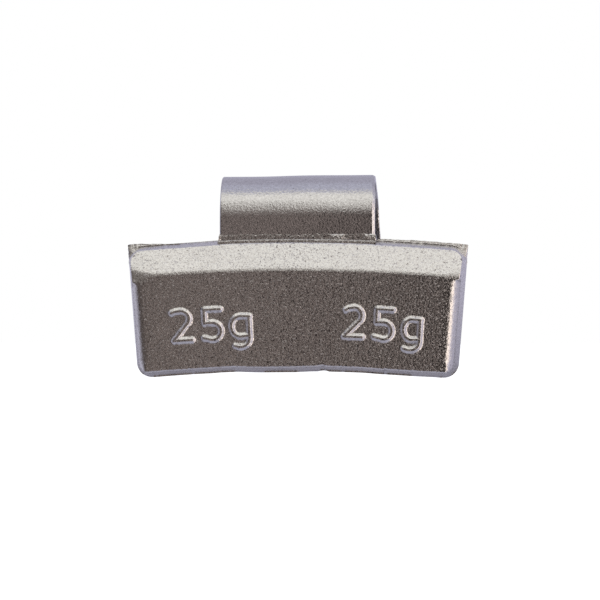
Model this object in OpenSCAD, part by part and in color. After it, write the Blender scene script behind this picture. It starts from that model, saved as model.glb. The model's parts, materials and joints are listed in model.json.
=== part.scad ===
// Wheel balance weight: a clip-on weight for the lip of an alloy rim. A curved zinc casting
// holds the foot of a spring steel strip, and the strip hooks over the rim's flange.
// Millimetres. The origin is the axis of the hook's curl at mid-width: +X along the rim,
// -Y to the front of the wheel, +Z away from the wheel's centre.

/* [Casting] */
// Length of the casting along its top edge
body_length = 43.7; // [34:0.1:60]
// Radial height of the casting at mid-length
body_height = 17; // [14:0.1:22]
// Thickness from the back face to the front face
body_thickness = 4.9; // [4:0.05:6.5]
// Radius round the wheel's axis that the top edge follows
rim_radius = 230; // [180:5:290]
// Slope of each end, narrower to the bottom, in degrees
end_slope = 4.5; // [2:0.1:6]
// Draft of every wall that the mould leaves, in degrees
draft = 8; // [5:0.5:10]
// Height of the chamfer along the top of the front
chamfer_height = 3.55; // [2.5:0.05:4.5]
// Slope of that chamfer from the front face, in degrees
chamfer_slope = 30; // [24:1:36]
// Radius of the two bottom corners at the back
bottom_corner = 2.1; // [1.8:0.1:3]
// Radius of the two top corners at the back
top_corner = 1.6; // [1.4:0.1:2]
// Radius where each end runs over into the front
end_rounding = 1.5; // [0.8:0.1:1.7]
// Radius of the front's bottom edge
edge_rounding = 0.35; // [0.2:0.05:0.6]

/* [Parting flange] */
// Thickness of the thin flange at the back, with square top corners
flange_thickness = 0.4; // [0.25:0.05:0.5]
// How far the flange stands above the top wall
flange_rise = 0.16; // [0.1:0.02:0.3]

/* [Corner facets] */
// Reach of each small facet along the chamfer's lower edge
facet_reach = 2.9; // [2:0.1:4]
// Drop of each facet down the end
facet_drop = 1.55; // [1.1:0.05:2.2]
// Slope of each facet from the front face, in degrees
facet_slope = 7; // [5:0.5:12]

/* [Clip] */
// Width of the spring strip
strip_width = 20; // [15:0.5:26]
// Thickness of the spring strip
strip_thickness = 0.9; // [0.7:0.05:1.1]
// Inner radius of the curl, which grips the rim's lip
curl_radius = 4.6; // [3.6:0.1:5.6]
// Height of the curl's axis above the casting
curl_rise = 2.5; // [2:0.1:4]
// Bevel of the strip's two outer edges
edge_bevel = 0.3; // [0.15:0.05:0.45]
// Straight length of the tail below the curl
tail_length = 4.2; // [3:0.1:6]
// Widening of the tail on each side
tail_flare = 0.55; // [0.2:0.05:1]
// Angle by which the tail's lip curls away from the rim
lip_angle = 36; // [20:1:50]
// Radius on the inside of that curl
lip_radius = 2; // [1.4:0.1:3]
// Radius of the lip's two corners
lip_corner = 1.6; // [1:0.1:2.2]

/* [Anchor] */
// Depth of the strip's foot below the top of the casting
foot_depth = 10.5; // [9:0.1:12.5]
// Cover of zinc behind the foot
foot_cover = 0.6; // [0.45:0.05:0.9]
// Radius of the holes in the foot that the zinc fills
anchor_radius = 2; // [1.2:0.1:2.4]
// Distance from the middle to each anchor hole
anchor_offset = 5.4; // [4.2:0.1:6.5]
// Radius of the marks that the mould's pins leave behind the foot
pin_radius = 1.3; // [0.8:0.1:1.6]
// Height of the collar that grips the strip above the casting
collar_height = 0.4; // [0.25:0.05:0.4]
// Thickness of that collar
collar_thickness = 0.3; // [0.2:0.05:0.45]

/* [Node] */
// Piece to build

/* [Hidden] */
$fn = 96;

curl_outer = curl_radius + strip_thickness;
back_y = foot_cover - curl_radius;
top_z = -curl_rise;

// Radii round the wheel's axis, which lies below the casting
wheel_z = top_z - rim_radius;
bottom_radius = rim_radius - body_height;
top_wall_depth = body_thickness - chamfer_height * tan(chamfer_slope);
chamfer_top_radius = rim_radius - top_wall_depth * tan(draft);
front_top_radius = chamfer_top_radius - chamfer_height;
front_bottom_radius = bottom_radius + body_thickness * tan(draft);

// Angle that the revolved walls span, enough to pass both ends
sweep = 2 * asin((body_length / 2 + body_thickness) / bottom_radius);
// Reach of each cutting block past what it cuts
reach = body_length;
// How far a rounding's block passes the two walls that it rounds, as a multiple of the radius
past = 1.5;
// Small length by which cutters pass a flat face
clear = 0.5;
// A rounding is a touch over its radius, so that it crosses its walls and doesn't just touch them
over = 1.003;

// An end wall at the back, seen from the wheel's axis: its top point, its run and its outside
end_top = [body_length / 2, sqrt(rim_radius ^ 2 - (body_length / 2) ^ 2)];
end_down = [-sin(end_slope), -cos(end_slope)];
end_out = [cos(end_slope), -sin(end_slope)];

// The strip's foot, its anchor holes and the mould's pins
foot_z = top_z - foot_depth;
anchor_z = foot_z + 1.6 * anchor_radius;
pin_z = (top_z + anchor_z + anchor_radius) / 2;

// The tail's whole drop below the curl and the slope of its edges
tail_drop = tail_length + (lip_radius + strip_thickness) * sin(lip_angle);
tail_slope = atan(tail_flare / tail_drop);

function direction(angle) = [cos(angle), sin(angle)];

// The point at a given distance from the wheel's axis, on the line that runs along an end
// wall and lies a set distance inside it
function along_end(inside, distance) =
    let (
        start = end_top - inside * end_out,
        ahead = start * end_down,
        run = -ahead - sqrt(ahead ^ 2 - start * start + distance ^ 2)
    )
    start + run * end_down;

// Wedge from a rounding's centre out past the two walls, which face these two angles
module wedge(rounding, first, second) {
    half = (second - first) / 2;
    polygon([
        [0, 0],
        past * rounding * direction(first),
        past * rounding / cos(half) * direction(first + half),
        past * rounding * direction(second)
    ]);
}

// What a rounding takes off the corner between two walls
module rounding_cut(rounding, first, second) {
    difference() {
        wedge(rounding, first, second);
        circle(r = over * rounding);
    }
}

// Draws from the wheel's axis at the back face: X across, Y outwards, Z to the front
module on_wheel() {
    translate([0, back_y, wheel_z]) rotate([90, 0, 0]) children();
}

// Takes a profile, drawn as radius and distance from the back face, round the wheel's axis
module round_wheel() {
    on_wheel() rotate([0, 0, 90 - sweep / 2]) rotate_extrude(angle = sweep) children();
}

// Draws at the top of the right end wall: X out of the wall, Y up along it, Z to the front
module on_end() {
    on_wheel() translate([end_top.x, end_top.y, 0]) rotate([0, 0, -end_slope]) children();
}

module both_ends() {
    children();
    mirror([1, 0, 0]) children();
}

// The casting's section, with its drafted walls, its chamfer and its bottom front edge
module section() {
    difference() {
        polygon([
            [bottom_radius, 0],
            [rim_radius, 0],
            [chamfer_top_radius, top_wall_depth],
            [front_top_radius, body_thickness],
            [front_bottom_radius, body_thickness]
        ]);
        translate([
            front_bottom_radius + edge_rounding * (1 - sin(draft)) / cos(draft),
            body_thickness - edge_rounding
        ])
            rounding_cut(edge_rounding, 90, 180 - draft);
    }
}

// The thin flange stands above the top wall and squares off its rounded corners
module flange_section() {
    translate([rim_radius - 2 * top_corner, 0])
        square([2 * top_corner + flange_rise, flange_thickness]);
}

// Everything past an end wall
module end_block() {
    on_end() rotate([0, -draft, 0]) translate([0, -reach, -reach]) cube(2 * reach);
}

// What the rounding between an end wall and the front takes off
module end_rounding_block() {
    centre_depth = body_thickness - end_rounding;
    centre_x = -centre_depth * tan(draft) - end_rounding / cos(draft);
    on_end() rotate([90, 0, 0]) translate([centre_x, centre_depth, -clear])
        linear_extrude(2 * body_height) rounding_cut(end_rounding, draft, 90);
}

// What a drafted corner takes off: a wedge, less a cone that narrows to the front
module corner_block(rounding, centre, first, second) {
    on_wheel() translate([centre.x, centre.y, -clear])
        difference() {
            linear_extrude(body_thickness + 2 * clear) wedge(rounding, first, second);
            cylinder(
                h = body_thickness + 2 * clear,
                r1 = over * rounding + clear * tan(draft),
                r2 = over * rounding - (body_thickness + clear) * tan(draft)
            );
        }
}

module bottom_corner_block() {
    centre = along_end(bottom_corner, bottom_radius + bottom_corner);
    corner_block(bottom_corner, centre, atan2(-centre.y, -centre.x), -end_slope);
}

module top_corner_block() {
    centre = along_end(top_corner, rim_radius - top_corner);
    corner_block(top_corner, centre, -end_slope, atan2(centre.y, centre.x));
}

// What the small facet takes off the corner between the chamfer, the front and an end
module facet_block() {
    corner = along_end(body_thickness * tan(draft), front_top_radius);
    on_wheel() translate([corner.x, corner.y, body_thickness]) rotate([0, 0, -end_slope])
        translate([-facet_reach, 0, 0]) rotate([0, 0, atan2(facet_reach, facet_drop)])
            rotate([0, facet_slope, 0]) translate([-clear, -2 * facet_reach, 0])
                cube([3 * facet_reach, 4 * facet_reach, facet_reach]);
}

// The collar's top stays level, and its back lies in the casting's back face
module collar() {
    width = strip_width + 2 * collar_thickness;
    depth = strip_thickness + foot_cover + collar_thickness;
    translate([-width / 2, back_y - depth, top_z - body_height / 4])
        cube([width, depth, body_height / 4 + collar_height]);
}

module pin_mark() {
    translate([anchor_offset, -curl_radius, pin_z]) rotate([-90, 0, 0])
        cylinder(h = foot_cover + clear, r = pin_radius);
}

module casting() {
    difference() {
        union() {
            difference() {
                round_wheel() section();
                both_ends() top_corner_block();
            }
            round_wheel() flange_section();
        }
        both_ends() end_block();
        both_ends() end_rounding_block();
        both_ends() bottom_corner_block();
        both_ends() facet_block();
    }
    collar();
}

module weight_body() {
    color([0.62, 0.61, 0.6])
        difference() {
            casting();
            strip();
            both_ends() pin_mark();
        }
}

// Section of the strip as radius from the curl's axis and place across the strip
module strip_section() {
    side = strip_width / 2;
    polygon([
        [curl_radius, -side],
        [curl_outer - edge_bevel, -side],
        [curl_outer, -side + edge_bevel],
        [curl_outer, side - edge_bevel],
        [curl_outer - edge_bevel, side],
        [curl_radius, side]
    ]);
}

// Takes a profile, drawn as radius and place across, about a bend that runs along X.
// Zero degrees points down and 180 degrees points up.
module round_bend(first, angle) {
    rotate([0, 90, 0]) rotate([0, 0, first]) rotate_extrude(angle = angle) children();
}

// The leg rises out of the casting, where the zinc fills two holes in its foot
module leg() {
    difference() {
        translate([0, 0, foot_z]) rotate([0, 0, -90]) linear_extrude(-foot_z) strip_section();
        both_ends()
            translate([anchor_offset, 0, anchor_z]) rotate([90, 0, 0])
                cylinder(h = curl_outer + clear, r = anchor_radius);
    }
}

module curl() {
    round_bend(90, 180) strip_section();
}

// Outline of the tail from behind, widening down to its two rounded corners
module tail_outline() {
    side = strip_width / 2;
    difference() {
        polygon([
            [-side, 0],
            [side, 0],
            [side + tail_flare, -tail_drop],
            [-side - tail_flare, -tail_drop]
        ]);
        both_ends()
            translate([
                side + (tail_drop - lip_corner) * tan(tail_slope) - lip_corner / cos(tail_slope),
                lip_corner - tail_drop
            ])
                rounding_cut(lip_corner, -90, tail_slope);
    }
}

// The tail's strip before it is cut to its outline: a straight run and the lip
module tail_strip() {
    width = strip_width + 2 * tail_flare + 2 * clear;
    translate([-width / 2, curl_radius, -tail_length])
        cube([width, strip_thickness, tail_length]);
    translate([0, curl_outer + lip_radius, -tail_length])
        round_bend(-90, lip_angle)
            translate([lip_radius, -width / 2]) square([strip_thickness, width]);
}

module tail() {
    intersection() {
        tail_strip();
        rotate([90, 0, 0]) translate([0, 0, -2 * curl_outer])
            linear_extrude(2 * curl_outer) tail_outline();
    }
}

module strip() {
    leg();
    curl();
    tail();
}

module spring_clip() {
    color([0.66, 0.66, 0.68]) strip();
}

weight_body();
spring_clip();
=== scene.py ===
# Wheel balance weight seen from its front: a zinc casting with raised figures, whose spring
# steel strip hooks over the lip of a rim. The frame's own axes: +X along the rim, -Y to the
# front, +Z away from the wheel's centre, with the origin on the axis of the hook's curl.
import json
from math import atan2, cos, degrees, pi, radians, sin, sqrt, tan, tanh
import bmesh
import bpy
import numpy as np
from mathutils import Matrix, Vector


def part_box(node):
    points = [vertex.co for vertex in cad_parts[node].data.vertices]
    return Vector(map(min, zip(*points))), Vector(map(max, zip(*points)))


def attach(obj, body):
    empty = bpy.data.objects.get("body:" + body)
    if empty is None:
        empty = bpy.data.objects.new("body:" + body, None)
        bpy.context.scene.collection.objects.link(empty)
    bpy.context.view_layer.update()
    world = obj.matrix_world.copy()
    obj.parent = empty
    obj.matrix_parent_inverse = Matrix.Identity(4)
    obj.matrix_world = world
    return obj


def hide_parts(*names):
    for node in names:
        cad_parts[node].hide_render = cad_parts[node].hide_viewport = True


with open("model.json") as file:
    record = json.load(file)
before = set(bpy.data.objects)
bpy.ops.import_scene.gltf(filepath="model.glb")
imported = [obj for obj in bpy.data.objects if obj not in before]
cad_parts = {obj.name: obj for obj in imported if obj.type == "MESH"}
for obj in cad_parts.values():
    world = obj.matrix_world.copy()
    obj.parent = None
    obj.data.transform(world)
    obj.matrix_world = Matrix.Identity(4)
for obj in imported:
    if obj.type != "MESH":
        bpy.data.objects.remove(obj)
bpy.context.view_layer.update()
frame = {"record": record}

# Lengths below are millimetres until a mesh is made
MM = 0.001
SEED = 25

# The casting, whose depths run from its back face to its front
body_low, body_high = [[v / MM for v in corner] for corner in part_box("weight_body")]
BACK_Y = body_high[1]
THICKNESS = body_high[1] - body_low[1]
LENGTH = 43.7
HEIGHT = 17
RIM_RADIUS = 230
END_SLOPE = radians(4.5)
DRAFT = radians(8)
TOP_DRAFT = radians(8.5)
BOTTOM_DRAFT = radians(6.8)
BOTTOM_CORNER = 1.95
TOP_CORNER = 2.0
LEAST_CORNER = 0.05
CHAMFER_HEIGHT = 3.55
CHAMFER_SLOPE = radians(30)
CHAMFER_SOFTNESS = 0.16

# How far in front of the casting's back the flash and the collar begin
BACK_GAP = 0.006

# Roundings of the front's edges at its ends, along its bottom and along its top, and the
# stretch that leads from the ends' to the others
END_ROUNDING = 1.2
EDGE_ROUNDING = 0.35
TOP_EDGE_ROUNDING = 0.14
END_BLEND = 1.6

# The small facets under the chamfer's ends, left and right. Beside them the end's edge is
# sharp down to one distance below the chamfer, and fully rounded from another.
FACET_REACH = (2.9, 1.75)
FACET_DROP = (1.55, 0.57)
FACET_SLOPE = (radians(14), radians(17))
FACET_SOFTNESS = 0.1
SHARP_DROP = (0.6, 0.2)
ROUND_DROP = (1.26, 0.62)

# How far the front leans back near its ends, and where, measured in from the end wall
CROWN = 0.04
CROWN_START = 2.0
CROWN_FULL = 0.9

# The thin plate at the back, which shows as a ledge along the bottom and the top
PLATE_DEPTH = 0.3
PLATE_INSET = 0.06
BOTTOM_LEDGE = 0.12
TOP_LEDGE = 0.065

# The bottom wall is a little proud, and bulges or falls short: middle, half width, height
BOTTOM_PROUD = 0.03
BOTTOM_BULGES = [(-8.8, 1.6, -0.05), (-2.5, 3.5, 0.12), (3.4, 0.5, -0.12), (13, 3.5, 0.08)]

# How far the top wall drops, and the flash behind it rises, towards the left and the right:
# from and to distances from the middle, and the height. The flash has one hump as well.
TOP_DROPS = ([(7, 15, 0.13)], [(9.6, 10.2, 0.05)])
FLASH_RISES = ([(16, 20, 0.25), (19.2, 21, 0.11)], [(10.1, 10.4, 0.23), (18, 20, 0.06)])
FLASH_HUMP = (16.4, 2.2, 0.06)

# The flash's corners stand in from the ends. Its edge has a thickness and a bevel, and its
# foot lies in the casting, at a depth and a fall from the edge.
FLASH_INSET = 0.12
FLASH_EDGE = 0.1
FLASH_BEVEL = 0.035
FLASH_DEPTH = 0.76
FLASH_FALL = 1.9

# The clip
mounts = {mount["name"]: mount for mount in frame["record"]["mounts"]}
CURL_RADIUS = mounts["rim_lip"]["dims"]["r_mm"]
STRIP_WIDTH = mounts["rim_lip"]["dims"]["length_mm"]
STRIP = 0.9
CURL_RISE = 2.5
TAIL_LENGTH = 4.2
TAIL_FLARE = 0.55
BACK_SPREAD = 0.16
LIP_ANGLE = radians(36)
LIP_RADIUS = 2.0
LIP_CORNER = 1.6
RIGHT_BEVEL = 0.36
LEFT_BEVEL = 0.14
SHEAR = 0.12
NICK = 0.03
CLIP_SHIFT = 0.05
TRIM = 0.08
PINCH = 0.14
FOOT_DEPTH = 10.5
COVER = 0.6
ANCHOR_RADIUS = 2.0
PIN_OFFSET = 5.4
PIN_RADIUS = 1.3

# The collar of zinc round the strip: its height over the casting's top, its blobs' middles
# and half widths, and how far forward its apron reaches
COLLAR_HEIGHT = 0.45
BLOBS = [(-10.1, 0.35), (5.1, 0.9), (9.3, 0.7)]
APRON = 1.36

# Worked out from those: radii round the wheel's axis, which lies below the casting
TOP_Z = -CURL_RISE
WHEEL_Z = TOP_Z - RIM_RADIUS
BOTTOM_RADIUS = RIM_RADIUS - HEIGHT
TOP_WALL_DEPTH = THICKNESS - CHAMFER_HEIGHT * tan(CHAMFER_SLOPE)
FRONT_TOP_RADIUS = RIM_RADIUS - TOP_WALL_DEPTH * tan(DRAFT) - CHAMFER_HEIGHT
END_TOP = np.array([LENGTH / 2, sqrt(RIM_RADIUS ** 2 - (LENGTH / 2) ** 2)])
END_OUT = np.array([cos(END_SLOPE), -sin(END_SLOPE)])
END_DOWN = np.array([-sin(END_SLOPE), -cos(END_SLOPE)])
STRIP_MIDDLE = CURL_RADIUS + STRIP / 2
FOOT_Z = TOP_Z - FOOT_DEPTH
ANCHOR_Z = FOOT_Z + 1.6 * ANCHOR_RADIUS
PIN_Z = (TOP_Z + ANCHOR_Z + ANCHOR_RADIUS) / 2


def smooth(value):
    """Nought to one with level ends."""
    value = np.clip(value, 0, 1)
    return value * value * (3 - 2 * value)


def ramp(value, start, full):
    """Nought on one side of a start, one past a full, and smooth between them."""
    return smooth((value - start) / (full - start))


def swell(across, middle, half):
    """A soft hump of height one at a place along the rim."""
    return smooth(1.5 - np.abs(across - middle) / half)


def towards_ends(across, steps):
    """Sum of the steps that a list for the left and one for the right take up to a place."""
    left, right = steps
    total = sum(height * ramp(-across, start, full) for start, full, height in left)
    return total + sum(height * ramp(across, start, full) for start, full, height in right)


def waves(across, up, scale, seed):
    """Gentle irregular waves between about -1 and 1, of roughly one scale in size."""
    chance = np.random.default_rng(seed)
    total = np.zeros(np.shape(across))
    for _ in range(9):
        turn = chance.uniform(0, 2 * pi)
        pace = 2 * pi / (scale * chance.uniform(0.7, 1.8))
        start = chance.uniform(0, 2 * pi)
        total += np.sin((across * cos(turn) + up * sin(turn)) * pace + start)
    return total / 4


def spaced(knots):
    """Places from the first knot to the last, where each knot is a place and the spacing
    there, and the spacing changes evenly between knots."""
    places = [knots[0][0]]
    for (start, near), (end, far) in zip(knots, knots[1:]):
        count = max(1, round((end - start) * 2 / (near + far)))
        share = np.arange(1, count + 1) / count
        step = near + (far - near) * share
        run = np.cumsum(step + near) / np.sum(step + near)
        places.extend(start + (end - start) * run)
    return np.array(places)


def along_end(within, distance):
    """The point at a distance from the wheel's axis, on a line set inside the right end."""
    start = END_TOP - within * END_OUT
    ahead = start @ END_DOWN
    return start + (-ahead - sqrt(ahead ** 2 - start @ start + distance ** 2)) * END_DOWN


BOTTOM_CENTRE = along_end(BOTTOM_CORNER, BOTTOM_RADIUS + BOTTOM_CORNER)
TOP_CENTRE = along_end(TOP_CORNER, RIM_RADIUS - TOP_CORNER)
FACET_CORNER = along_end(THICKNESS * tan(DRAFT), FRONT_TOP_RADIUS)


def bottom_edge(across):
    """Radius of the bottom wall at the back, which bulges a little where metal ran out."""
    bulges = sum(high * swell(across, middle, half) for middle, half, high in BOTTOM_BULGES)
    return BOTTOM_RADIUS - BOTTOM_PROUD - bulges


def top_edge(across):
    """Radius of the top wall at the back, which drops a little towards its ends."""
    return RIM_RADIUS - towards_ends(across, TOP_DROPS)


def arc_height(across, radius):
    """Height of an arc round the wheel's axis over a place across."""
    return np.sqrt(radius ** 2 - across ** 2) + WHEEL_Z


def rounded(first, second, radius):
    """The shorter distance to two walls, rounded over where both are short."""
    return np.maximum(radius, np.minimum(first, second)) - np.hypot(
        np.maximum(radius - first, 0), np.maximum(radius - second, 0)
    )


def under_facet(across, out, front, side):
    """How deep a point lies under the facet at one end, of a side 0 at the left or 1."""
    reach, drop, slope = FACET_REACH[side], FACET_DROP[side], FACET_SLOPE[side]
    start = FACET_CORNER - reach * END_OUT
    turn = atan2(reach, drop) - END_SLOPE
    away = (np.abs(across) - start[0]) * cos(turn) + (out - start[1]) * sin(turn)
    return front * cos(slope) - sin(slope) * away


def within_casting(across, out, depth):
    """How deep a point lies in the casting: across and out from the wheel's axis, depth from
    the back face to the front."""
    radius = np.hypot(across, out)
    is_left = across < 0
    fall = depth * tan(DRAFT)
    past = (np.abs(across) - END_TOP[0]) * END_OUT[0] + (out - END_TOP[1]) * END_OUT[1]
    above = top_edge(across) - radius
    below = radius - bottom_edge(across)
    end = (-past - fall) * cos(DRAFT)
    top = (above - TOP_LEDGE - depth * tan(TOP_DRAFT)) * cos(TOP_DRAFT)
    bottom = (below - BOTTOM_LEDGE - depth * tan(BOTTOM_DRAFT)) * cos(BOTTOM_DRAFT)
    walls = rounded(end, bottom, np.maximum(BOTTOM_CORNER - fall, LEAST_CORNER))
    walls = rounded(walls, top, np.maximum(TOP_CORNER - fall, LEAST_CORNER))

    front = THICKNESS - depth
    chamfer = (FRONT_TOP_RADIUS - radius) * sin(CHAMFER_SLOPE) + front * cos(CHAMFER_SLOPE)
    facets = [under_facet(across, out, front, side) for side in (0, 1)]
    face = rounded(front - CROWN * ramp(end, CROWN_START, CROWN_FULL), chamfer, CHAMFER_SOFTNESS)
    face = rounded(face, np.where(is_left, *facets), FACET_SOFTNESS)

    to_end = ramp(np.minimum(bottom, top) - end, -END_BLEND / 2, END_BLEND / 2)
    sharp, full = np.where(is_left, *SHARP_DROP), np.where(is_left, *ROUND_DROP)
    to_end *= ramp(FRONT_TOP_RADIUS - radius, sharp, full)
    edge = np.where(top < bottom, TOP_EDGE_ROUNDING, EDGE_ROUNDING)
    body = rounded(face, walls, edge + (END_ROUNDING - edge) * to_end)
    plate = rounded(-past - PLATE_INSET, below, BOTTOM_CORNER)
    plate = np.minimum(plate, rounded(-past - PLATE_INSET, above, TOP_CORNER))
    return np.maximum(body, np.minimum(plate, PLATE_DEPTH - depth))


def casting_depth(across, out):
    """Depth of the casting's front at a place, found by halving."""
    low = np.full(across.shape, -0.3)
    high = np.full(across.shape, THICKNESS)
    for _ in range(34):
        middle = (low + high) / 2
        is_in = within_casting(across, out, middle) > 0
        low = np.where(is_in, middle, low)
        high = np.where(is_in, high, middle)
    return np.maximum((low + high) / 2, 0)


def make_piece(name, node, points, faces, material):
    """A smooth mesh object from points in millimetres, which stands for a node."""
    mesh = bpy.data.meshes.new(name)
    mesh.from_pydata((np.asarray(points) * MM).tolist(), [], [tuple(map(int, f)) for f in faces])
    mesh.validate()
    mesh.shade_smooth()
    mesh.materials.append(material)
    piece = bpy.data.objects.new(name, mesh)
    bpy.context.scene.collection.objects.link(piece)
    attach(piece, "root")
    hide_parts(node)
    return piece


def sharpen(piece, angle):
    """Smooth shading that breaks where two faces meet at more than an angle in degrees."""
    piece.data.shade_smooth()
    piece.data.set_sharp_from_angle(angle=radians(angle))


def between_rings(lower, upper, count):
    """Faces between two closed rings of points, which start at two numbers."""
    for i in range(count):
        j = (i + 1) % count
        yield lower + i, lower + j, upper + j, upper + i


def front_grid():
    """A grid over the casting's front that follows the arc, between the centres of the four
    corners' roundings: the radius of each row, and the angle of each place."""
    fine, plain = 0.07, 0.3
    low_radius, high_radius = np.hypot(*BOTTOM_CENTRE), np.hypot(*TOP_CENTRE)
    low_turn, high_turn = (atan2(c[0], c[1]) for c in (BOTTOM_CENTRE, TOP_CENTRE))
    rows = spaced([
        (low_radius, 0.15), (low_radius + 1, plain), (FRONT_TOP_RADIUS - 0.9, 0.2),
        (FRONT_TOP_RADIUS - 0.3, fine), (FRONT_TOP_RADIUS + 0.3, fine),
        (FRONT_TOP_RADIUS + 0.9, 0.2), (high_radius, 0.2)
    ])
    side = (low_radius + high_radius) / 2 * (low_turn + high_turn) / 2
    columns = spaced([
        (-side, 0.13), (-side + 3, plain), (side - 3, plain), (side, 0.13)
    ]) / side
    turn = low_turn + (high_turn - low_turn) * (rows - low_radius) / (high_radius - low_radius)
    return rows, columns[None, :] * turn[:, None]


def rim_rays(rows, angles, index):
    """Rays from the grid's rim out to the edge of the back, along the bottom to the right, up
    and round: the number of each one's vertex and its far end."""
    fan = 14
    mirror = np.array([-1, 1])
    rays = []

    def corner(vertex, centre, radius, first, last):
        for angle in np.linspace(first, last, fan + 1):
            rays.append((vertex, centre + radius * np.array([cos(angle), sin(angle)])))

    low_angle = atan2(BOTTOM_CENTRE[1], BOTTOM_CENTRE[0]) - pi
    high_angle = atan2(TOP_CENTRE[1], TOP_CENTRE[0])
    low_out = BOTTOM_CENTRE + BOTTOM_CORNER * END_OUT
    high_out = TOP_CENTRE + TOP_CORNER * END_OUT
    share = (rows - rows[0]) / (rows[-1] - rows[0])
    side = low_out + share[:, None] * (high_out - low_out)

    for vertex, turn in zip(index[0, 1:-1], angles[0, 1:-1]):
        reach = bottom_edge(rows[0] * sin(turn))
        rays.append((vertex, reach * np.array([sin(turn), cos(turn)])))
    corner(index[0, -1], BOTTOM_CENTRE, BOTTOM_CORNER, low_angle, -END_SLOPE)
    rays.extend(zip(index[1:-1, -1], side[1:-1]))
    corner(index[-1, -1], TOP_CENTRE, TOP_CORNER, -END_SLOPE, high_angle)
    for vertex, turn in zip(index[-1, -2:0:-1], angles[-1, -2:0:-1]):
        reach = top_edge(RIM_RADIUS * sin(turn))
        rays.append((vertex, reach * np.array([sin(turn), cos(turn)])))
    corner(index[-1, 0], TOP_CENTRE * mirror, TOP_CORNER, pi - high_angle, pi + END_SLOPE)
    rays.extend(zip(index[-2:0:-1, 0], side[-2:0:-1] * mirror))
    corner(
        index[0, 0], BOTTOM_CENTRE * mirror, BOTTOM_CORNER, pi + END_SLOPE, pi - low_angle
    )
    return rays


def ray_places(inner, outer, levels):
    """Places along rays from their outer ends towards their inner ones, and their depths.
    They lie closer where the surface turns."""
    trial = np.linspace(0, 1, 220) ** 1.6
    points = outer[:, None] + trial[None, :, None] * (inner - outer)[:, None]
    depth = casting_depth(points[..., 0], points[..., 1])
    inward = np.hypot(*np.moveaxis(np.diff(points, axis=1), 2, 0))
    drop = np.diff(depth, axis=1)
    slope = np.arctan2(drop, inward)
    bend = np.abs(np.diff(slope, axis=1, prepend=slope[:, :1]))
    weight = np.cumsum(np.hypot(inward, drop) / 5 + bend / 1.2 + inward / 3, axis=1)
    weight = np.concatenate([np.zeros((len(outer), 1)), weight], 1)
    chosen = np.array([
        np.interp(np.linspace(0, w[-1], levels + 1), w, trial) for w in weight
    ])
    places = outer[:, None] + chosen[:, :-1, None] * (inner - outer)[:, None]
    depth = casting_depth(places[..., 0], places[..., 1])
    depth[:, 0] = 0
    return places, depth


def casting_front():
    """Mesh of the casting's front and walls: the grid, the rays round it, and the numbers of
    the points along the edge of the back."""
    levels = 24
    rows, angles = front_grid()
    across = rows[:, None] * np.sin(angles)
    out = rows[:, None] * np.cos(angles)
    index = np.arange(across.size).reshape(across.shape)
    rim, outer = zip(*rim_rays(rows, angles, index))
    rim, across, out = np.array(rim), across.ravel(), out.ravel()
    inner = np.stack([across[rim], out[rim]], 1)
    places, ring_depth = ray_places(inner, np.array(outer), levels)

    ring = across.size + np.arange(len(rim) * levels).reshape(len(rim), levels)
    ring = np.concatenate([ring, rim[:, None]], 1)
    faces = []
    for low, high in zip(index, index[1:]):
        faces += zip(low, low[1:], high[1:], high)
    for here, after in zip(ring, np.roll(ring, -1, axis=0)):
        faces += zip(here[:-2], after[:-2], after[1:-1], here[1:-1])
        last = (here[-2], after[-2], after[-1], here[-1])
        faces.append(last[:3] if here[-1] == after[-1] else last)
    depth = np.concatenate([casting_depth(across, out), ring_depth.ravel()])
    across = np.concatenate([across, places[..., 0].ravel()])
    out = np.concatenate([out, places[..., 1].ravel()])
    return np.stack([across, BACK_Y - depth, out + WHEEL_Z], 1), faces, ring[:, 0]


def close_back(piece, outline):
    """Closes the casting's back, with the round marks of the mould's pins, which reach the
    strip's foot."""
    build = bmesh.new()
    build.from_mesh(piece.data)
    build.verts.ensure_lookup_table()
    corners = [build.verts[int(v)] for v in outline]
    border = [
        build.edges.get((here, after)) for here, after in zip(corners, corners[1:] + corners[:1])
    ]
    turns = np.linspace(0, 2 * pi, 48, endpoint=False)
    for side in (-1, 1):
        rims = []
        for depth in (0, COVER + 0.02):
            rims.append([
                build.verts.new((
                    (side * PIN_OFFSET + PIN_RADIUS * cos(turn)) * MM,
                    (BACK_Y - depth) * MM,
                    (PIN_Z + PIN_RADIUS * sin(turn)) * MM
                ))
                for turn in turns
            ])
        outer, inner = rims
        for a, b, c, d in zip(outer, outer[1:] + outer[:1], inner[1:] + inner[:1], inner):
            build.faces.new((a, b, c, d))
            border.append(build.edges.get((a, b)))
        build.faces.new(inner)
    bmesh.ops.triangle_fill(build, use_beauty=True, use_dissolve=False, edges=border)
    bmesh.ops.recalc_face_normals(build, faces=build.faces)
    build.to_mesh(piece.data)
    build.free()
    sharpen(piece, 50)


def make_casting(material):
    """The casting itself, with its closed back."""
    points, faces, outline = casting_front()
    piece = make_piece("casting", "weight_body", points, faces, material)
    close_back(piece, outline)


# The raised figures, on a baseline that follows the arc
STROKE_HEIGHT = 0.235
BASELINE = BOTTOM_RADIUS + 4.5
TAIL_DROP = 1.15

# Half of a stroke's section from its crest to its foot: place across in millimetres and
# share of the height
STROKE_HALF = [
    (0, 1), (0.1, 0.995), (0.13, 0.98), (0.155, 0.93), (0.18, 0.86), (0.28, 0.55), (0.35, 0.33),
    (0.39, 0.2), (0.43, 0.1), (0.47, 0.04), (0.51, 0.0), (0.54, -0.06)
]


def arc(centre, radii, first, last, count=26):
    """Points on an ellipse between two angles in degrees."""
    angles = np.radians(np.linspace(first, last, count))
    return [(centre[0] + radii[0] * cos(a), centre[1] + radii[1] * sin(a)) for a in angles]


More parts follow.
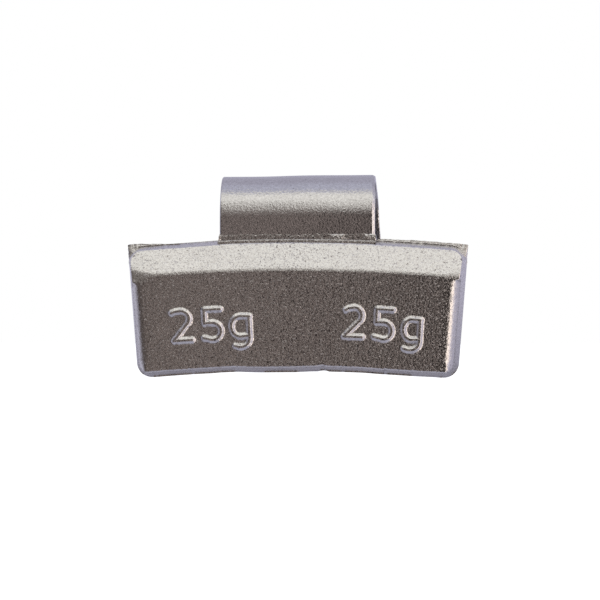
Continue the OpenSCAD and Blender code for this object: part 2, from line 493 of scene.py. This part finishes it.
def two(top, near, hook, dip, side, foot):
    """The runs of a figure two: its height, its left side, where its hook starts and how far
    below the top, its right side and its foot's end."""
    bend = arc((1.38, top - 1.02), (side - 1.38, 1.02), 98, -34)
    return [[(hook, top - dip), (hook + 0.35, top - 0.3 * dip)] + bend + [(near, 0)],
            [(near, 0), (foot, 0)]]


def five(top, bar, reach, end):
    """The runs of a figure five: its height, the length of its bar and its bowl's sides."""
    bowl = arc((0.95, 0.96), (reach - 0.95, 1.08), 98, -112)
    return [[(bar, top), (0, top)], [(0, top), (0, 2.0)],
            [(0, 2.0), (0.45, 2.04)] + bowl + [(end, 0.14)]]


def gram(top, side, end):
    """The runs of the letter: the height of its bowl, where its stem stands and its tail's
    end."""
    middle = 0.52 * side + 0.04
    bowl = arc((middle, (top + 0.15) / 2), (middle - 0.04, (top - 0.15) / 2), 90, 270)
    tail = arc((side - 1.1, -0.12), (1.12, TAIL_DROP - 0.12), 0, -90, 14)
    return [[(side, top - 0.06)] + bowl + [(side, 0.28)],
            [(side - 0.05, top - 0.05), (side + 0.02, -0.1)] + tail
            + [(end + 0.5, -TAIL_DROP), (end, 0.14 - TAIL_DROP)]]


# The marks' figures: where each starts along the baseline, how high it sits, and its runs
FIGURES = [
    (-15.82, 0, two(3.74, 0.42, 0.32, 0.2, 2.5, 2.74)),
    (-11.42, 0, five(3.73, 2.02, 2.06, -0.14)),
    (-8.09, 0, gram(2.76, 2.31, 0.42)),
    (6.06, 0.16, two(3.72, 0.12, 0.27, 0.36, 2.28, 2.4)),
    (10.2, 0.12, five(3.66, 1.99, 1.98, -0.25)),
    (13.56, 0, gram(2.76, 2.15, 0.24))
]


def stroke_stations(run):
    """Places along a run, each with its direction and how far its section is folded round
    the run's ends, in radians."""
    run = np.array(run)
    steps = np.hypot(*np.diff(run, axis=0).T)
    walked = np.concatenate([[0], np.cumsum(steps)])
    even = np.linspace(0, walked[-1], max(2, round(walked[-1] / 0.1)))
    line = np.stack([np.interp(even, walked, run[:, axis]) for axis in (0, 1)], 1)
    ahead = np.gradient(line, axis=0)
    ahead /= np.hypot(*ahead.T)[:, None]
    folds = np.linspace(0, pi / 2, 8)[1:]
    before = [(line[0], ahead[0], -fold) for fold in folds[::-1]]
    after = [(line[-1], ahead[-1], fold) for fold in folds]
    return before + [(place, course, 0) for place, course in zip(line, ahead)] + after


def stroke_points(start, lift, station, section):
    """Points of a stroke's section at one of its stations, worn a little wider or lower."""
    place, course, fold = station
    worn = 1 + 0.04 * waves(place[0] + start, place[1], 1.1, SEED)
    high = 1 + 0.06 * waves(place[0] + start, place[1], 0.8, SEED + 8)
    for out, height in section:
        side = out * worn * cos(fold)
        past = abs(out) * worn * sin(fold)
        along = start + place[0] - course[1] * side + course[0] * past
        radius = BASELINE + lift + place[1] + course[0] * side + course[1] * past
        turn = along / BASELINE
        front = BACK_Y - THICKNESS - height * high * STROKE_HEIGHT
        yield radius * sin(turn), front, radius * cos(turn) + WHEEL_Z


def make_figures(material):
    """The raised figures: strokes with sloping sides, a worn crest and round ends."""
    section = [(-x, height) for x, height in STROKE_HALF[:0:-1]] + STROKE_HALF
    width = len(section)
    points, faces = [], []
    for start, lift, runs in FIGURES:
        for run in runs:
            stations = stroke_stations(run)
            for a in range(len(points), len(points) + (len(stations) - 1) * width, width):
                faces += [(i, i + 1, i + width + 1, i + width) for i in range(a, a + width - 1)]
            for station in stations:
                points += stroke_points(start, lift, station, section)
    make_piece("casting_figures", "weight_body", points, faces, material)


def flash_rise(across):
    """How far the thin flash at the back stands above the top wall."""
    middle, half, high = FLASH_HUMP
    rise = towards_ends(across, FLASH_RISES) + high * swell(across, middle, half)
    return rise + 0.018 * waves(across, 0 * across, 0.9, SEED + 1) * (rise > 0.03)


def make_flash(material):
    """The flash along the top of the back, with its ragged square corners. It thins out to
    its edge, so that its front looks up a little."""
    corner = LENGTH / 2 - FLASH_INSET
    across = spaced([(-corner, 0.1), (-15, 0.25), (9.8, 0.25), (10.6, 0.1), (corner, 0.1)])
    upper = arc_height(across, top_edge(across) + flash_rise(across))
    lower = arc_height(across, RIM_RADIUS - 2.0)
    chance = np.random.default_rng(SEED + 2)
    drop = np.linspace(0.1, 2.1, 18)
    ends = []
    for side, top in ((-1, upper[0]), (1, upper[-1])):
        out = LENGTH / 2 - drop * tan(END_SLOPE) + chance.uniform(-0.06, 0.02, len(drop))
        ends.append([(side * x, top - z) for x, z in zip(out, drop)])
    outline = list(zip(across, upper)) + ends[1]
    outline += list(zip(across[::-1], lower[::-1])) + ends[0][::-1]
    x, z = np.array(outline).T

    # Its layers from the back to the front: how deep each lies and how far it falls
    edge = FLASH_EDGE + 0.03 * waves(x, z, 0.6, SEED + 7)
    bevel = np.maximum(0.01, FLASH_BEVEL + 0.05 * waves(x, z, 0.7, SEED + 9))
    level = 0 * edge
    layers = [
        (BACK_GAP + level, level), (edge, level), (edge + 0.008, bevel),
        (FLASH_DEPTH + level, FLASH_FALL + level)
    ]
    points = []
    for depth, fall in layers:
        points += zip(x * (1 - fall / 100), BACK_Y - depth, z - fall)
    count = len(outline)
    faces = [tuple(range(count)), tuple(range(4 * count - 1, 3 * count - 1, -1))]
    for layer in (0, count, 2 * count):
        faces += [face[::-1] for face in between_rings(layer, layer + count, count)]
    piece = make_piece("casting_flash", "weight_body", points, faces, material)
    sharpen(piece, 6)


def collar_walk():
    """Places round the strip: across, depth, and how much of a length out from the strip
    goes to the side there and how much to the front."""
    half, deep = STRIP_WIDTH / 2 - TRIM, COVER + STRIP
    side = spaced([(0, 0.1), (deep, 0.1)])
    front = spaced([(-half, 0.06), (half, 0.06)])
    walk = [(-half, depth, -1, depth / deep) for depth in side[:-1]]
    walk += [(x, deep, x / half, 1) for x in front[:-1]]
    walk += [(half, depth, 1, depth / deep) for depth in side[:0:-1]]
    walk += [(x, BACK_GAP, x / half, 0) for x in front[:0:-4]]
    across, depth, aside, ahead = np.array(walk).T
    return across, depth, np.sign(aside) * np.abs(aside) ** 30, ahead


def make_collar(material):
    """The thin ragged veil of zinc on the strip where it leaves the casting, and the level
    apron in front of its foot. It has blobs, and a thicker ledge at the right."""
    across, depth, aside, ahead = collar_walk()
    arc_top = arc_height(across, RIM_RADIUS)
    blobs = sum(swell(across, middle, half) for middle, half in BLOBS)
    ledge = ramp(across, 2.4, 3.2)
    ragged = waves(across, depth, 0.5, SEED + 3) + waves(across, depth, 1.9, SEED + 4)
    top = TOP_Z + COLLAR_HEIGHT + (0.11 - 0.05 * ledge) * ragged + 0.06 * ledge
    top -= 0.2 * ramp(depth, COVER, COVER - 0.5)
    foot = arc_top - 0.11 + 0.015 * ragged
    thick = 0.04 + 0.1 * blobs + 0.05 * ledge
    thin = 0.004 + 0.07 * ledge

    def row(out, forward, height, rough=0.0):
        """Points a length out from the strip's sides and forward from its front."""
        jitter = rough * (
            waves(across, height, 0.34, SEED + 5) + 0.6 * waves(across, height, 0.17, SEED + 6)
        )
        x = across + CLIP_SHIFT + aside * (out + jitter)
        back = np.maximum(depth + ahead * (forward + jitter), BACK_GAP)
        return np.stack([x, BACK_Y - back, height + 0 * across], 1)

    # From inside the casting up the apron's front, back to the veil, up it and down inside
    rows = [
        row(0.2, APRON, arc_top - 1.2), row(0.16, APRON, arc_top - 0.55),
        row(0.15, APRON - 0.005, arc_top - 0.2 + 0.015 * ragged),
        row(0.13, APRON - 0.02, arc_top - 0.165 + 0.012 * ragged),
        row(thick + 0.06, thick + 0.09, foot - 0.06), row(thick + 0.03, thick + 0.05, foot - 0.05),
        row(thick, thick, foot)
    ]
    for share in np.linspace(0.1, 1, 12):
        out = thick + share ** 4 * (thin - thick)
        rough = (0.003 + 0.03 * blobs * (1 - share)) * min(1, 4 * share)
        rows.append(row(out, out, foot + share * (top - foot), rough))
    rows.append(row(0.5 * thin, 0.5 * thin, top + 0.02))
    rows.append(row(-0.02, -0.02, top - 0.02))
    rows.append(row(-0.04, -0.04, arc_top - 1.2))
    count = len(across)
    faces = []
    for level in range(len(rows)):
        above = (level + 1) % len(rows)
        faces += between_rings(level * count, above * count, count)
    piece = make_piece("casting_collar", "weight_body", np.concatenate(rows), faces, material)
    sharpen(piece, 40)


def strip_stations():
    """Places along the strip's middle from its foot to its lip: y and z, the direction in
    degrees, and the half width."""
    side = STRIP_WIDTH / 2 - TRIM
    stations = []
    for z in spaced([(FOOT_Z, 0.5), (TOP_Z - 0.6, 0.5), (0, 0.25)])[:-1]:
        stations.append((-STRIP_MIDDLE, z, 90, side))
    for turn in np.linspace(0, 180, 73):
        bend = radians(180 - turn)
        half = side + BACK_SPREAD * ramp(turn, 135, 180)
        stations.append((STRIP_MIDDLE * cos(bend), STRIP_MIDDLE * sin(bend), 90 - turn, half))

    side += BACK_SPREAD
    drop = TAIL_LENGTH + (LIP_RADIUS + STRIP) * sin(LIP_ANGLE)
    flare = (TAIL_FLARE + TRIM - BACK_SPREAD) / drop
    for down in spaced([(0, 0.4), (TAIL_LENGTH, 0.3)])[1:]:
        stations.append((STRIP_MIDDLE, -down, -90, side + flare * down))
    away = LIP_RADIUS + STRIP / 2
    last = TAIL_LENGTH + away * sin(LIP_ANGLE)
    for share in np.linspace(0, 1, 25)[1:]:
        bend = LIP_ANGLE * sin(share * pi / 2)
        down = TAIL_LENGTH + away * sin(bend)
        rest = min(1, (last - down) / LIP_CORNER)
        corner = LIP_CORNER * (1 - sqrt(1 - (1 - rest) ** 2))
        y = STRIP_MIDDLE + away * (1 - cos(bend))
        stations.append((y, -down, degrees(bend) - 90, side + flare * down - corner))
    return stations


def strip_section(half):
    """Section of the strip, as place across and height from its middle, with worn edges
    outside the curl and sheared ones inside."""
    thick = STRIP / 2
    grid = np.linspace(LEFT_BEVEL - half + SHEAR, half - RIGHT_BEVEL - SHEAR, 41)
    section = [(x, thick) for x in grid]
    for side, bevel in ((1, RIGHT_BEVEL), (-1, LEFT_BEVEL)):
        inside = half - bevel
        edge = [
            (inside, thick), (inside + NICK, thick - NICK / 2),
            (half - NICK, thick - 0.45 * bevel), (half, thick - 0.75 * bevel), (half, 0),
            (half, SHEAR - thick), (half - NICK, NICK - thick), (half - SHEAR, -thick),
            (half - 0.3, -thick)
        ]
        if side > 0:
            section += edge
            section += [(x, -thick) for x in grid[::-1] if abs(x) < half - 0.5]
        else:
            section += [(-x, y) for x, y in edge[::-1]]
    return section


def strip_lift(across):
    """How far the curl stands out of true: it was bent a little higher at its right."""
    return 0.06 + 0.1 * tanh((across + 2) / 3) + 0.03 * ramp(across, 6, 10)


def strip_points(y, z, heading, half):
    """Points of the strip's section at a station, pinched a little at the curl's right."""
    ahead = radians(heading)
    for across, height in strip_section(half):
        lift = height + strip_lift(across) * ramp(z, -3, 5)
        shift = CLIP_SHIFT - PINCH * ramp(z, 2.5, 5) * ramp(across, 8, 10)
        yield across + shift, y - lift * sin(ahead), z + lift * cos(ahead)


def punch_hole(clip, side):
    """Cuts the round hole in the strip's foot that the zinc fills, at one side."""
    bpy.ops.mesh.primitive_cylinder_add(
        vertices=48, radius=ANCHOR_RADIUS * MM, depth=3 * STRIP * MM,
        location=(side * PIN_OFFSET * MM, -STRIP_MIDDLE * MM, ANCHOR_Z * MM),
        rotation=(pi / 2, 0, 0)
    )
    punch = bpy.context.object
    hole = clip.modifiers.new("hole", "BOOLEAN")
    hole.operation = "DIFFERENCE"
    hole.solver = "EXACT"
    hole.object = punch
    bpy.context.view_layer.update()
    shaped = bpy.data.meshes.new_from_object(
        clip.evaluated_get(bpy.context.evaluated_depsgraph_get())
    )
    clip.modifiers.remove(hole)
    clip.data = shaped
    bpy.data.objects.remove(punch)


def make_clip(material):
    """The spring strip, swept from its foot in the casting over the curl to the lip."""
    stations = strip_stations()
    points = [point for station in stations for point in strip_points(*station)]
    count = len(points) // len(stations)
    faces = []
    for row in range(len(stations) - 1):
        faces += between_rings(row * count, (row + 1) * count, count)
    faces.append(tuple(range(count)))
    faces.append(tuple(range(len(points) - 1, len(points) - count - 1, -1)))
    clip = make_piece("clip_strip", "spring_clip", points, faces, material)
    for side in (-1, 1):
        punch_hole(clip, side)
    sharpen(clip, 35)


class Shader:
    """The nodes of a material or a world, built line by line."""

    def __init__(self, owner, output="ShaderNodeOutputMaterial"):
        self.owner = owner
        owner.use_nodes = True
        self.tree = owner.node_tree
        self.tree.nodes.clear()
        self.output = self.add(output)
        self.place = self.add("ShaderNodeTexCoord").outputs["Object"]

    def add(self, kind, inputs=(), **settings):
        """A node with its inputs, by name or number, and its settings."""
        node = self.tree.nodes.new(kind)
        for name, value in settings.items():
            setattr(node, name, value)
        for socket, value in dict(inputs).items():
            self.set(node.inputs[socket], value)
        return node

    def set(self, socket, value):
        """Links a socket to another node's output, or gives it a value."""
        if isinstance(value, bpy.types.NodeSocket):
            self.tree.links.new(value, socket)
        else:
            socket.default_value = value

    def finish(self, last):
        """Links the last node to the output, and gives back what the nodes belong to."""
        self.set(self.output.inputs["Surface"], last.outputs[0])
        return self.owner

    def noise(self, size, detail=2.0, rough=0.5, offset=(0, 0, 0), stretch=(1, 1, 1)):
        """Noise between about nought and one, with marks of a size in millimetres."""
        place = self.add("ShaderNodeMapping", {
            "Vector": self.place, "Location": offset, "Scale": [s / MM / size for s in stretch]
        }).outputs[0]
        return self.add("ShaderNodeTexNoise", {
            "Vector": place, "Scale": 1.0, "Detail": detail, "Roughness": rough
        }).outputs["Fac"]

    def span(self, value, low, high, first=0.0, last=1.0):
        """Takes a value from one range to another, within its ends."""
        return self.add("ShaderNodeMapRange", {
            "Value": value, "From Min": low, "From Max": high, "To Min": first, "To Max": last
        }).outputs[0]

    def math(self, operation, first, second):
        """One of the sums that a node works out of two values."""
        return self.add("ShaderNodeMath", {0: first, 1: second}, operation=operation).outputs[0]

    def mix(self, share, first, second):
        """A colour between two others."""
        node = self.add("ShaderNodeMix", data_type="RGBA")
        self.set(node.inputs["Factor"], share)
        for socket, value in (("A", first), ("B", second)):
            colours = [s for s in node.inputs if s.name == socket and s.type == "RGBA"]
            self.set(colours[0], (*value, 1) if isinstance(value, tuple) else value)
        return [s for s in node.outputs if s.type == "RGBA"][0]

    def spot(self, mark):
        """One within a small oval on the front, given by its middle across and up, its half
        length and half width in millimetres and its lean in degrees."""
        across, up, long, wide, lean = mark
        place = self.add("ShaderNodeMapping", {
            "Vector": self.place, "Location": (across * MM, 0, up * MM),
            "Rotation": (0, -radians(lean), 0), "Scale": (long * MM, 1, wide * MM)
        }, vector_type="TEXTURE").outputs[0]
        away = self.add("ShaderNodeVectorMath", {0: place}, operation="LENGTH").outputs["Value"]
        return self.span(away, 0.6, 1.0, 1.0, 0.0)

    def spots(self, marks):
        """One within any of several spots."""
        found = self.spot(marks[0])
        for mark in marks[1:]:
            found = self.math("MAXIMUM", found, self.spot(mark))
        return found

    def bump(self, height, depth, normal=None):
        """A bump whose full height is a depth in millimetres."""
        node = self.add("ShaderNodeBump", {"Height": height, "Distance": depth * MM})
        if normal is not None:
            self.set(node.inputs["Normal"], normal)
        return node.outputs[0]

    def metal(self, colour, rough, normal):
        """The surface of a bare metal."""
        return self.add("ShaderNodeBsdfPrincipled", {
            "Base Color": colour, "Metallic": 1.0, "Roughness": rough, "Normal": normal
        })


# Marks that the photo shows on the casting: across, up, half length, half width and lean
DARK_SPOTS = [
    (7.82, -3.8, 0.17, 0.09, 70), (20.98, -5.14, 0.14, 0.1, 30), (-20.66, -4.76, 0.16, 0.12, 45),
    (-17.6, -6.77, 0.12, 0.09, 0), (-21.6, -3.35, 0.26, 0.1, 10), (-21.95, -3.6, 0.1, 0.2, 0),
    (-20.3, -3.2, 0.2, 0.07, 5), (-19.4, -3.2, 0.12, 0.08, 0), (-21.5, -4.4, 0.07, 0.3, 0),
    (8.6, -3.9, 0.12, 0.06, 0), (5.7, -3.75, 0.22, 0.06, 0)
]
BRIGHT_NICKS = [
    (17.08, -12.21, 0.56, 0.05, -35), (7.23, -12.75, 0.3, 0.06, -54),
    (-19.06, -12.78, 0.2, 0.1, 40), (-17.1, -8.29, 0.16, 0.12, 0), (-12.86, -14.11, 0.12, 0.16, 0),
    (-12.42, -14.2, 0.15, 0.1, -30), (-14.44, -17.66, 0.12, 0.08, 60), (-9.2, -7.1, 0.14, 0.08, 60),
    (-5.6, -7.9, 0.12, 0.07, 30), (9.9, -15.6, 0.1, 0.07, 20), (1.4, -12.8, 0.12, 0.07, 70)
]


def zinc():
    """Die cast zinc: a fine sparkling grain, cloudy patches, and pits most in the middle."""
    shader = Shader(bpy.data.materials.new("zinc_casting"))
    clouds = shader.noise(3.2, 3.0, 0.6)
    grain = shader.noise(0.26, 2.0, 0.6)
    fine = shader.noise(0.12, 1.0, 0.6, offset=(3, 7, 1))
    specks = shader.span(shader.noise(0.3, 2.0, 0.5, offset=(9, 2, 4)), 0.66, 0.72)
    colour = shader.mix(shader.span(clouds, 0.3, 0.7), (0.62, 0.61, 0.59), (0.67, 0.66, 0.64))
    colour = shader.mix(shader.span(grain, 0.3, 0.55), (0.53, 0.51, 0.49), colour)
    colour = shader.mix(specks, colour, (0.2, 0.18, 0.17))

    across = shader.add("ShaderNodeSeparateXYZ", {0: shader.place}).outputs["X"]
    middle = shader.span(shader.math("ABSOLUTE", across, 0.0), 0.0, 9 * MM, 0.09, 0.0)
    pits = shader.math("ADD", shader.noise(0.21, 1.0, 0.5, offset=(4, 1, 8)), middle)
    pits = shader.span(pits, 0.7, 0.78)
    dark = shader.math("MAXIMUM", shader.spots(DARK_SPOTS), pits)
    colour = shader.mix(dark, colour, (0.16, 0.14, 0.15))

    patch = shader.noise(0.24, 2.0, 0.6, offset=(5, 5, 5))
    rough = shader.span(patch, 0.51, 0.66, 0.14, 0.54)
    rough = shader.math("MAXIMUM", rough, shader.span(shader.spots(BRIGHT_NICKS), 0, 1, 0.1, 0.75))
    normal = shader.bump(clouds, 0.02)
    normal = shader.bump(grain, 0.048, normal)
    normal = shader.bump(fine, 0.009, normal)
    return shader.finish(shader.metal(colour, rough, normal))


def spring_steel():
    """Plated spring steel: smooth, with faint lines along the strip and small pits."""
    shader = Shader(bpy.data.materials.new("spring_steel"))
    clouds = shader.noise(4.0, 2.0, 0.5)
    grain = shader.noise(0.26, 2.0, 0.6)
    drawn = shader.noise(0.18, 2.0, 0.6, offset=(1, 4, 2), stretch=(1, 0.06, 0.06))
    specks = shader.span(shader.noise(0.35, 1.0, 0.5, offset=(2, 8, 3)), 0.72, 0.79)
    colour = shader.mix(shader.span(clouds, 0.3, 0.7), (0.6, 0.59, 0.58), (0.66, 0.65, 0.64))
    colour = shader.mix(shader.span(grain, 0.35, 0.65), (0.5, 0.49, 0.48), colour)
    colour = shader.mix(specks, colour, (0.25, 0.24, 0.24))
    patch = shader.noise(0.24, 2.0, 0.6, offset=(7, 1, 6))
    rough = shader.span(patch, 0.45, 0.75, 0.13, 0.36)
    normal = shader.bump(grain, 0.034)
    normal = shader.bump(drawn, 0.004, normal)
    return shader.finish(shader.metal(colour, rough, normal))


zinc_material = zinc()
steel_material = spring_steel()
make_casting(zinc_material)
make_figures(zinc_material)
make_flash(zinc_material)
make_collar(zinc_material)
make_clip(steel_material)


# The studio. Its lengths are metres.
FLOOR_Z = -0.14
FLOOR_REACH = 4.0
FLOOR_PAINT = (0.8, 0.8, 0.8, 1)
FLOOR_GLOW = 0.75
AMBIENT = (0.75, 0.76, 0.82, 1)
AMBIENT_STRENGTH = 0.7
WHITE = (1, 1, 1, 1)

# The camera: how far it is, where it stands, what it looks at, and its field's width there
DISTANCE = 0.42
TURN = radians(3.5)
RISE = radians(1.0)
AIM = Vector((0.075 * MM, 0, -10.47 * MM))
FIELD = 77.6 * MM
SENSOR = 36

# The light tent's radius and its colours
ROOM = 0.28
LEFT_WALL = np.array((0.66, 0.65, 0.8))
RIGHT_WALL = np.array((0.6, 0.58, 0.73))
BACK_WALL = np.array((0.54, 0.53, 0.66))
DUSK = np.array((0.32, 0.31, 0.38))
DARK = np.array((1.2, 1.0, 0.95))
DIM = np.array((0.29, 0.265, 0.25))
GLANCE = np.array((0.79, 0.75, 0.89))
LAMP = np.array((2.05, 1.78, 1.62))
TRAY = np.array((0.5, 0.5, 0.62))
COOL = np.array((0.66, 0.67, 0.83))
WARM = np.array((1.19, 1.17, 1.13))

# How bright the dark space round the camera is, at angles from the front to the right
DARK_LEVELS = [
    (-60, 0.08), (-12, 0.09), (-9, 0.2), (-7, 0.52), (-5.5, 0.32), (-3, 0.185), (-1.5, 0.1),
    (-0.5, 0.025), (8, 0.015)
]


def glow(turn, rise):
    """Light from a direction, in degrees from the front to the right and up: a dark space
    round the camera, a warm softbox over it, a warm lamp at the right and cool walls."""

    def blend(base, colour, share):
        return base + share[:, None] * (colour - base)

    aside = np.abs(turn)
    behind = ramp(aside, 110, 122)
    light = blend(LEFT_WALL, RIGHT_WALL, ramp(turn, -30, 30))
    light = blend(light, DUSK, behind * ramp(rise, -3, -9))
    light = blend(light, BACK_WALL, behind * ramp(rise, 3, 9))
    dark = np.interp(turn, *zip(*DARK_LEVELS)) * (1 + 0.3 * ramp(rise, 0, -6))
    light = blend(light, dark[:, None] * DARK, ramp(turn, -92, -50) * ramp(turn, 34, 26))

    # A dim card on both sides over the camera, half as strong at the right
    off = np.abs(turn + 5.5)
    dim = ramp(off, 7, 11) * ramp(off, 35, 27) * ramp(rise, 8, 16) * ramp(rise, 50, 42)
    light = blend(light, DIM, dim * (1 - 0.5 * (turn > 0)))
    light = blend(light, GLANCE, ramp(turn, 40, 55) * ramp(turn, 88, 62))
    light = blend(light, LAMP, ramp(turn, 22, 36) * ramp(turn, 62, 42))
    light = blend(light, TRAY, (1 - behind) * ramp(rise, -40, -50))
    light = blend(light, COOL, ramp(rise, 70, 76))

    # The softbox, whose lower edge is higher away from the middle
    low = 10 + 20 * ramp(aside, 5, 9) + 5 * ramp(aside, 30, 22)
    box = ramp(rise, low, low + 15) * ramp(rise, 75, 69) * ramp(aside, 75, 67)
    return blend(light, WARM, box)


def make_tent():
    """The light tent round the object, flat where it lies on the floor, whose cloth is
    coloured by direction. Only reflections and light show it."""
    turns = np.arange(-180, 181, 2.0)
    rises = np.arange(-88, 91, 2.0)
    turn, rise = (grid.ravel() for grid in np.meshgrid(turns, rises))
    a, b = np.radians(turn), np.radians(rise)
    reach = np.minimum(ROOM, (FLOOR_Z + 0.002) / np.minimum(np.sin(b), -0.01))
    points = reach * np.stack([np.cos(b) * np.sin(a), -np.cos(b) * np.cos(a), np.sin(b)])
    width = len(turns)
    faces = []
    for j in range(len(rises) - 1):
        for i in range(j * width, (j + 1) * width - 1):
            faces.append((i, i + 1, i + width + 1, i + width))

    shader = Shader(bpy.data.materials.new("tent"))
    cloth = shader.add("ShaderNodeAttribute", attribute_name="glow").outputs["Color"]
    material = shader.finish(shader.add("ShaderNodeEmission", {"Color": cloth}))
    mesh = bpy.data.meshes.new("tent")
    mesh.from_pydata(points.T.tolist(), [], faces)
    mesh.materials.append(material)
    tent = bpy.data.objects.new("tent", mesh)
    bpy.context.scene.collection.objects.link(tent)
    tent.visible_camera = False
    tent.visible_shadow = False
    colours = np.concatenate([glow(turn, rise), np.ones((len(turn), 1))], 1)
    layer = mesh.color_attributes.new("glow", "FLOAT_COLOR", "POINT")
    layer.data.foreach_set("color", colours.ravel())


def where_seen(shader):
    """One for what the camera, a reflection or glass sees, and nought for other light."""
    path = shader.add("ShaderNodeLightPath").outputs
    seen = shader.math("MAXIMUM", path["Is Camera Ray"], path["Is Glossy Ray"])
    return shader.math("MAXIMUM", seen, path["Is Transmission Ray"])


def make_floor():
    """A pale floor that shows white and keeps the object's shadow."""
    shader = Shader(bpy.data.materials.new("floor"))
    paint = shader.add("ShaderNodeBsdfDiffuse", {"Color": FLOOR_PAINT})
    strength = shader.math("MULTIPLY", where_seen(shader), FLOOR_GLOW)
    shine = shader.add("ShaderNodeEmission", {"Color": WHITE, "Strength": strength})
    both = shader.add("ShaderNodeAddShader", {0: paint.outputs[0], 1: shine.outputs[0]})
    mesh = bpy.data.meshes.new("floor")
    square = [(-1, -1), (1, -1), (1, 1), (-1, 1)]
    corners = [(x * FLOOR_REACH, y * FLOOR_REACH, FLOOR_Z) for x, y in square]
    mesh.from_pydata(corners, [], [(0, 1, 2, 3)])
    mesh.materials.append(shader.finish(both))
    floor = bpy.data.objects.new("floor", mesh)
    bpy.context.scene.collection.objects.link(floor)


def make_world():
    """White where it is seen, and a soft cool light otherwise."""
    world = bpy.data.worlds.new("studio")
    bpy.context.scene.world = world
    shader = Shader(world, "ShaderNodeOutputWorld")
    ambient = shader.add("ShaderNodeBackground", {"Color": AMBIENT, "Strength": AMBIENT_STRENGTH})
    white = shader.add("ShaderNodeBackground", {"Color": WHITE})
    shader.finish(shader.add("ShaderNodeMixShader", {
        0: where_seen(shader), 1: ambient.outputs[0], 2: white.outputs[0]
    }))


def make_camera():
    """The camera, a little to the right of the front and a little above it."""
    data = bpy.data.cameras.new("camera")
    data.sensor_width = SENSOR
    data.lens = SENSOR * DISTANCE / FIELD
    camera = bpy.data.objects.new("camera", data)
    bpy.context.scene.collection.objects.link(camera)
    towards = Vector((sin(TURN) * cos(RISE), -cos(TURN) * cos(RISE), sin(RISE)))
    camera.location = AIM + DISTANCE * towards
    camera.rotation_euler = (-towards).to_track_quat("-Z", "Y").to_euler()
    bpy.context.scene.camera = camera


make_tent()
make_floor()
make_world()
make_camera()
bpy.context.scene.view_settings.view_transform = "Standard"
